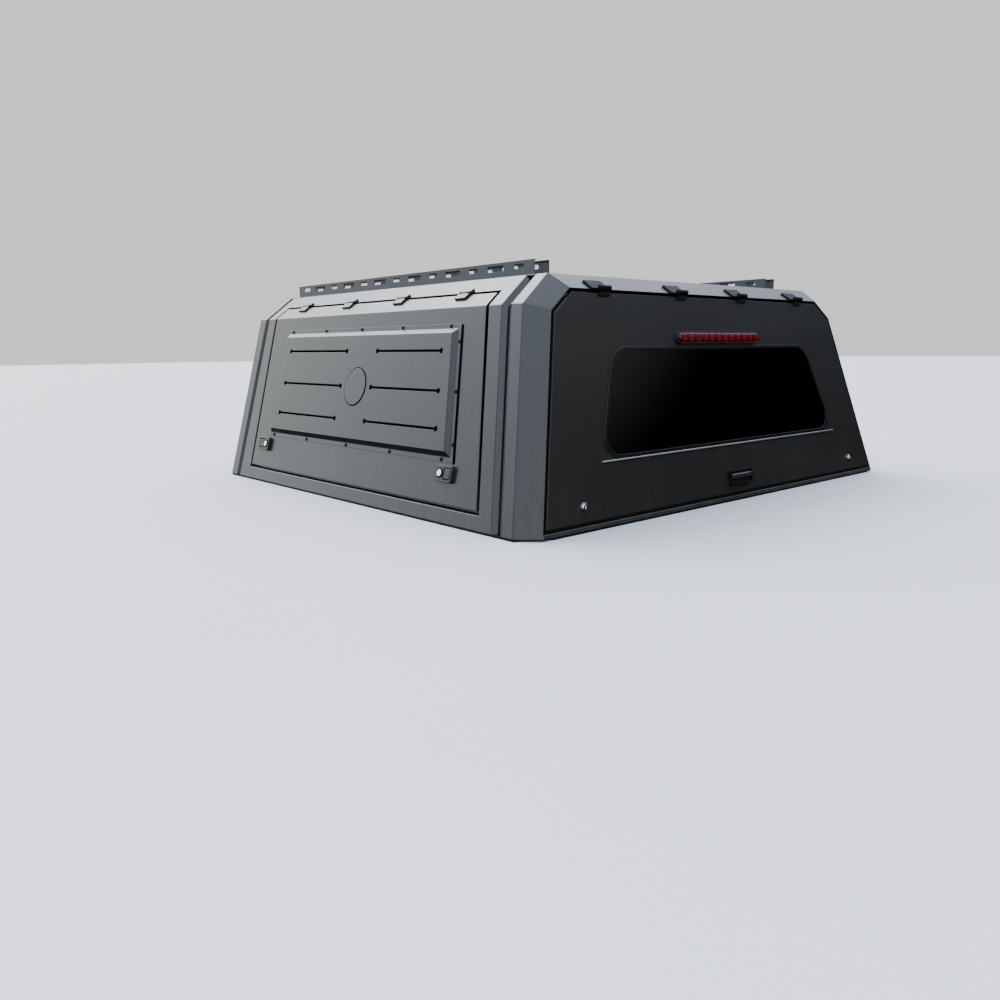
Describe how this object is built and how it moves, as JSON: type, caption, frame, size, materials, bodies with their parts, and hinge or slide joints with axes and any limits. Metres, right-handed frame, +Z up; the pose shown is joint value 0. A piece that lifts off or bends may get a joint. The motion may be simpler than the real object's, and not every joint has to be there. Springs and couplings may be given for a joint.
{
  "type": "pickup truck canopy",
  "caption": "Folded sheet-metal canopy for a pickup tub with lift-up side doors, a lift-up rear hatch with a tinted window, and slotted roof rails.",
  "frame": {"origin": "middle of the footprint, on the level of the tub's rail under the base rubber", "axes": "+X to the vehicle's right, +Y to the cab, +Z up"},
  "size_m": [1.6874, 1.565, 0.665],
  "materials": {
    "powder_coat": "satin black powder coat",
    "rubber": "matt black rubber",
    "tinted_glass": "dark tinted glass",
    "rail_black": "textured black powder coat",
    "latch_black": "black coated die casting",
    "key_metal": "polished key cylinder",
    "bright_strip": "anodised strip",
    "lamp_black": "black lamp base",
    "red_lens": "red lamp lens"
  },
  "bodies": {
    "shell": {"roof_panel": "powder_coat", "roof_bows": "powder_coat", "rear_header": "powder_coat", "rear_sill": "powder_coat", "front_panel": "powder_coat", "front_window_rubber": "rubber", "front_window": "tinted_glass", "front_base_rail": "powder_coat", "base_seal": "rubber", "left_rear_corner": "powder_coat", "right_rear_corner": "powder_coat", "left_side_frame": "powder_coat", "right_side_frame": "powder_coat", "left_front_corner": "powder_coat", "right_front_corner": "powder_coat", "left_base_rail": "powder_coat", "right_base_rail": "powder_coat", "left_roof_rail": "rail_black", "right_roof_rail": "rail_black", "left_door_seal": "rubber", "right_door_seal": "rubber", "left_fixed_hinges": "powder_coat", "right_fixed_hinges": "powder_coat", "hatch_seal": "rubber", "hatch_fixed_hinges": "powder_coat"},
    "left_door": {"left_door_skin": "powder_coat", "left_door_stiffener": "powder_coat", "left_door_pan": "powder_coat", "left_door_hinges": "powder_coat", "left_latch_housings": "latch_black", "left_key_cylinders": "key_metal"},
    "right_door": {"right_door_skin": "powder_coat", "right_door_stiffener": "powder_coat", "right_door_pan": "powder_coat", "right_door_hinges": "powder_coat", "right_latch_housings": "latch_black", "right_key_cylinders": "key_metal"},
    "hatch": {"hatch_skin": "powder_coat", "hatch_stiffener": "powder_coat", "hatch_hinges": "powder_coat", "hatch_window_rubber": "rubber", "hatch_window": "tinted_glass", "hatch_window_ledge": "bright_strip", "brake_lamp_base": "lamp_black", "brake_lamp_lens": "red_lens", "hatch_handle_cup": "latch_black", "hatch_locks": "key_metal"},
    "left_rear_latch_paddle_body": {"left_rear_latch_paddle": "latch_black"},
    "left_front_latch_paddle_body": {"left_front_latch_paddle": "latch_black"},
    "right_rear_latch_paddle_body": {"right_rear_latch_paddle": "latch_black"},
    "right_front_latch_paddle_body": {"right_front_latch_paddle": "latch_black"},
    "hatch_handle_lever_body": {"hatch_handle_lever": "latch_black"}
  },
  "joints": [
    {"name": "left_door_hinge", "type": "hinge", "parent": "shell", "child": "left_door", "pos_m": [-0.65823, 0, 0.58438], "axis": [0, 1, 0], "range_deg": [0, 85]},
    {"name": "right_door_hinge", "type": "hinge", "parent": "shell", "child": "right_door", "pos_m": [0.65823, 0, 0.58438], "axis": [0, -1, 0], "range_deg": [0, 85]},
    {"name": "hatch_hinge", "type": "hinge", "parent": "shell", "child": "hatch", "pos_m": [0, -0.66224, 0.58729], "axis": [-1, 0, 0], "range_deg": [0, 85]},
    {"name": "left_rear_latch", "type": "hinge", "parent": "left_door", "child": "left_rear_latch_paddle_body", "pos_m": [-0.81994, -0.4475, 0.12703], "axis": [-0.2538, 0, -0.9673], "range_deg": [0, 35], "stiffness_Nm_per_rad": 0.01, "springref_deg": -17.19},
    {"name": "left_front_latch", "type": "hinge", "parent": "left_door", "child": "left_front_latch_paddle_body", "pos_m": [-0.81994, 0.5635, 0.12703], "axis": [0.2538, 0, 0.9673], "range_deg": [0, 35], "stiffness_Nm_per_rad": 0.01, "springref_deg": -17.19},
    {"name": "right_rear_latch", "type": "hinge", "parent": "right_door", "child": "right_rear_latch_paddle_body", "pos_m": [0.81994, -0.4475, 0.12703], "axis": [-0.2538, 0, 0.9673], "range_deg": [0, 35], "stiffness_Nm_per_rad": 0.01, "springref_deg": -17.19},
    {"name": "right_front_latch", "type": "hinge", "parent": "right_door", "child": "right_front_latch_paddle_body", "pos_m": [0.81994, 0.5635, 0.12703], "axis": [0.2538, 0, -0.9673], "range_deg": [0, 35], "stiffness_Nm_per_rad": 0.01, "springref_deg": -17.19},
    {"name": "hatch_handle", "type": "hinge", "parent": "hatch", "child": "hatch_handle_lever_body", "pos_m": [0, -0.77345, 0.07886], "axis": [-1, 0, 0], "range_deg": [0, 35], "stiffness_Nm_per_rad": 0.02, "springref_deg": -17.19}
  ]
}
